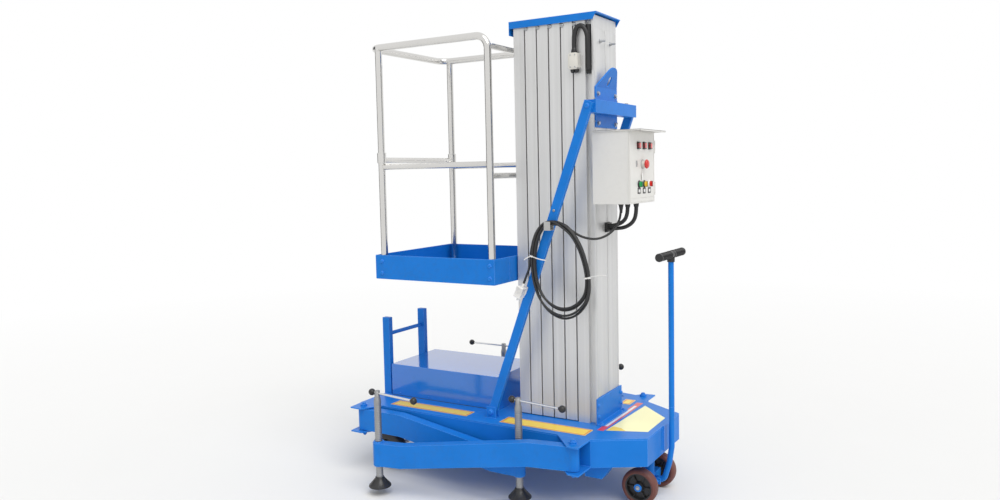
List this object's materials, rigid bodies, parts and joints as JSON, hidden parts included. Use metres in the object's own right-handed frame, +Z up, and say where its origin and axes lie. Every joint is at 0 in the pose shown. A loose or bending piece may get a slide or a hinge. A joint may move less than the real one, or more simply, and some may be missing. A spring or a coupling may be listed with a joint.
{
  "type": "vertical mast lift",
  "caption": "Push-around vertical mast lift with a telescoping aluminium mast, tube-railed work platform, swing-out stabiliser arms with screw jacks and a tow bar.",
  "frame": {"origin": "on the floor under the middle of the bounding box", "axes": "+Z up, +X towards the tow handle, -Y the side with the coiled mains cord"},
  "size_m": [1.532, 1.2474, 2.163],
  "materials": {
    "blue_paint": "gloss",
    "steel_tube": "polished",
    "mast_alloy": "satin anodised",
    "cream_paint": "satin",
    "black_rubber": "matt",
    "zinc_steel": "zinc plated",
    "black_plastic": "matt",
    "red_plastic": "gloss",
    "wheel_tread": "polyurethane",
    "rear_tread": "rubber",
    "white_plastic": "gloss",
    "grey_plastic": "matt",
    "dark_steel": "matt"
  },
  "bodies": {
    "chassis": {"chassis_frame": "blue_paint", "deck_plate": "blue_paint", "power_cover": "blue_paint", "power_pack": "dark_steel", "step_frame": "blue_paint", "stage_0": "mast_alloy", "mast_shoe": "blue_paint", "lift_lug": "blue_paint", "cross_channel": "blue_paint", "brace_near": "blue_paint", "brace_far": "blue_paint", "junction_box": "cream_paint", "travel_cable": "black_rubber", "cabinet_body": "cream_paint", "cabinet_hood": "cream_paint", "control_cables": "black_rubber", "cable_grommet": "black_rubber", "mains_coil": "black_rubber", "mains_lead": "black_rubber", "mains_tail": "black_rubber", "mains_plug": "white_plastic", "cord_clip": "grey_plastic", "rear_axle": "zinc_steel"},
    "mast_1": {"stage_1": "mast_alloy"},
    "mast_2": {"stage_2": "mast_alloy"},
    "mast_3": {"stage_3": "mast_alloy"},
    "mast_4": {"stage_4": "mast_alloy"},
    "platform": {"stage_5": "mast_alloy", "mast_cap": "blue_paint", "basket_tray": "blue_paint", "basket_rails": "steel_tube", "basket_carrier": "zinc_steel"},
    "entry": {"entry_bar": "steel_tube"},
    "door": {"cabinet_door": "cream_paint", "stop_button": "red_plastic", "lamp_row": "red_plastic", "switch_row": "black_plastic"},
    "steering": {"steer_fork": "blue_paint"},
    "tow": {"tow_bar": "blue_paint", "tow_grip": "black_plastic"},
    "front_wheel_near": {"front_near_hub": "black_plastic", "front_near_tyre": "wheel_tread"},
    "rear_wheel_near": {"rear_near_hub": "black_plastic", "rear_near_tyre": "rear_tread"},
    "front_wheel_far": {"front_far_hub": "black_plastic", "front_far_tyre": "wheel_tread"},
    "rear_wheel_far": {"rear_far_hub": "black_plastic", "rear_far_tyre": "rear_tread"},
    "swing_front_near": {"arm_front_near": "blue_paint"},
    "jack_front_near": {"screw_front_near": "zinc_steel", "foot_front_near": "black_plastic"},
    "swing_rear_near": {"arm_rear_near": "blue_paint"},
    "jack_rear_near": {"screw_rear_near": "zinc_steel", "foot_rear_near": "black_plastic"},
    "swing_front_far": {"arm_front_far": "blue_paint"},
    "jack_front_far": {"screw_front_far": "zinc_steel", "foot_front_far": "black_plastic"},
    "swing_rear_far": {"arm_rear_far": "blue_paint"},
    "jack_rear_far": {"screw_rear_far": "zinc_steel", "foot_rear_far": "black_plastic"}
  },
  "joints": [
    {"name": "stage_1_lift", "type": "slide", "parent": "chassis", "child": "mast_1", "axis": [0, 0, 1], "range_m": [0, 1.4]},
    {"name": "stage_2_lift", "type": "slide", "parent": "mast_1", "child": "mast_2", "axis": [0, 0, 1], "range_m": [0, 1.4]},
    {"name": "stage_3_lift", "type": "slide", "parent": "mast_2", "child": "mast_3", "axis": [0, 0, 1], "range_m": [0, 1.4]},
    {"name": "stage_4_lift", "type": "slide", "parent": "mast_3", "child": "mast_4", "axis": [0, 0, 1], "range_m": [0, 1.4]},
    {"name": "stage_5_lift", "type": "slide", "parent": "mast_4", "child": "platform", "axis": [0, 0, 1], "range_m": [0, 1.4]},
    {"name": "entry_bar_lift", "type": "slide", "parent": "platform", "child": "entry", "axis": [0, 0, 1], "range_m": [0, 0.47]},
    {"name": "door_hinge", "type": "hinge", "parent": "chassis", "child": "door", "pos_m": [0.62, 0.155, 1.48], "axis": [0, 0, 1], "range_deg": [0, 110]},
    {"name": "steer_pivot", "type": "hinge", "parent": "chassis", "child": "steering", "pos_m": [0.646, 0, 0.208], "axis": [0, 0, 1], "range_deg": [-25, 25]},
    {"name": "tow_tilt", "type": "hinge", "parent": "steering", "child": "tow", "pos_m": [0.688, 0, 0.075], "axis": [0, 1, 0], "range_deg": [0, 80]},
    {"name": "front_wheel_near_spin", "type": "hinge", "parent": "steering", "child": "front_wheel_near", "pos_m": [0.646, -0.12, 0.08], "axis": [0, 1, 0], "continuous": true},
    {"name": "rear_wheel_near_spin", "type": "hinge", "parent": "chassis", "child": "rear_wheel_near", "pos_m": [-0.63, -0.275, 0.095], "axis": [0, 1, 0], "continuous": true},
    {"name": "front_wheel_far_spin", "type": "hinge", "parent": "steering", "child": "front_wheel_far", "pos_m": [0.646, 0.12, 0.08], "axis": [0, 1, 0], "continuous": true},
    {"name": "rear_wheel_far_spin", "type": "hinge", "parent": "chassis", "child": "rear_wheel_far", "pos_m": [-0.63, 0.275, 0.095], "axis": [0, 1, 0], "continuous": true},
    {"name": "arm_front_near_swing", "type": "hinge", "parent": "chassis", "child": "swing_front_near", "pos_m": [0.46, -0.407, 0.27], "axis": [0, 0, 1], "range_deg": [0, 90]},
    {"name": "jack_front_near_screw", "type": "slide", "parent": "swing_front_near", "child": "jack_front_near", "axis": [0, 0, -1], "range_m": [-0.045, 0.11]},
    {"name": "arm_rear_near_swing", "type": "hinge", "parent": "chassis", "child": "swing_rear_near", "pos_m": [-0.71, -0.372, 0.27], "axis": [0, 0, -1], "range_deg": [0, 36]},
    {"name": "jack_rear_near_screw", "type": "slide", "parent": "swing_rear_near", "child": "jack_rear_near", "axis": [0, 0, -1], "range_m": [-0.045, 0.11]},
    {"name": "arm_front_far_swing", "type": "hinge", "parent": "chassis", "child": "swing_front_far", "pos_m": [0.46, 0.407, 0.27], "axis": [0, 0, -1], "range_deg": [0, 90]},
    {"name": "jack_front_far_screw", "type": "slide", "parent": "swing_front_far", "child": "jack_front_far", "axis": [0, 0, -1], "range_m": [-0.045, 0.11]},
    {"name": "arm_rear_far_swing", "type": "hinge", "parent": "chassis", "child": "swing_rear_far", "pos_m": [-0.71, 0.372, 0.27], "axis": [0, 0, 1], "range_deg": [0, 36]},
    {"name": "jack_rear_far_screw", "type": "slide", "parent": "swing_rear_far", "child": "jack_rear_far", "axis": [0, 0, -1], "range_m": [-0.045, 0.11]}
  ],
  "couplings": [
    {"joint": "stage_2_lift", "follows": "stage_1_lift", "ratio": 1},
    {"joint": "stage_3_lift", "follows": "stage_1_lift", "ratio": 1},
    {"joint": "stage_4_lift", "follows": "stage_1_lift", "ratio": 1},
    {"joint": "stage_5_lift", "follows": "stage_1_lift", "ratio": 1},
    {"joint": "arm_rear_near_swing", "follows": "arm_front_near_swing", "ratio": 0.4},
    {"joint": "arm_rear_far_swing", "follows": "arm_front_far_swing", "ratio": 0.4}
  ]
}
